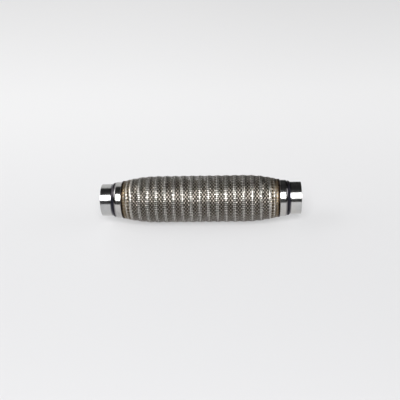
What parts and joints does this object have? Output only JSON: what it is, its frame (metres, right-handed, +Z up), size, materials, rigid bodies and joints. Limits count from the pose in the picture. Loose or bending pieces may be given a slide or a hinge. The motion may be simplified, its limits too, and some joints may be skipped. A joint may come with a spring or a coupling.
{
  "type": "exhaust flex pipe",
  "caption": "Flexible exhaust connector: a braided bellows section with collars and a plain extension pipe at each end.",
  "frame": {"origin": "under the middle of the pipe, on the surface that it lies on", "axes": "+X along the pipe towards the right extension pipe of the picture, +Z up"},
  "size_m": [0.29, 0.0692, 0.0676],
  "materials": {
    "polished_steel": "polished, faint drawing lines",
    "drawn_steel": "polished, straw to purple heat tint near the weld",
    "weld_metal": "dark rippled weld bead",
    "burnt_rim": "burnt dark brown",
    "braid_wire": "bright drawn wire, straw tint at both ends",
    "bellows_sheet": "satin",
    "sleeve_wire": "satin wire"
  },
  "bodies": {
    "root": {"nipple_left": "polished_steel", "nipple_right": "polished_steel", "collar_left": "drawn_steel", "collar_right": "drawn_steel", "nipple_weld_left": "weld_metal", "nipple_weld_right": "weld_metal", "braid_rim_left": "burnt_rim", "braid_rim_right": "burnt_rim", "outer_braid": "braid_wire", "bellows": "bellows_sheet", "inner_sleeve": "sleeve_wire"}
  },
  "joints": []
}
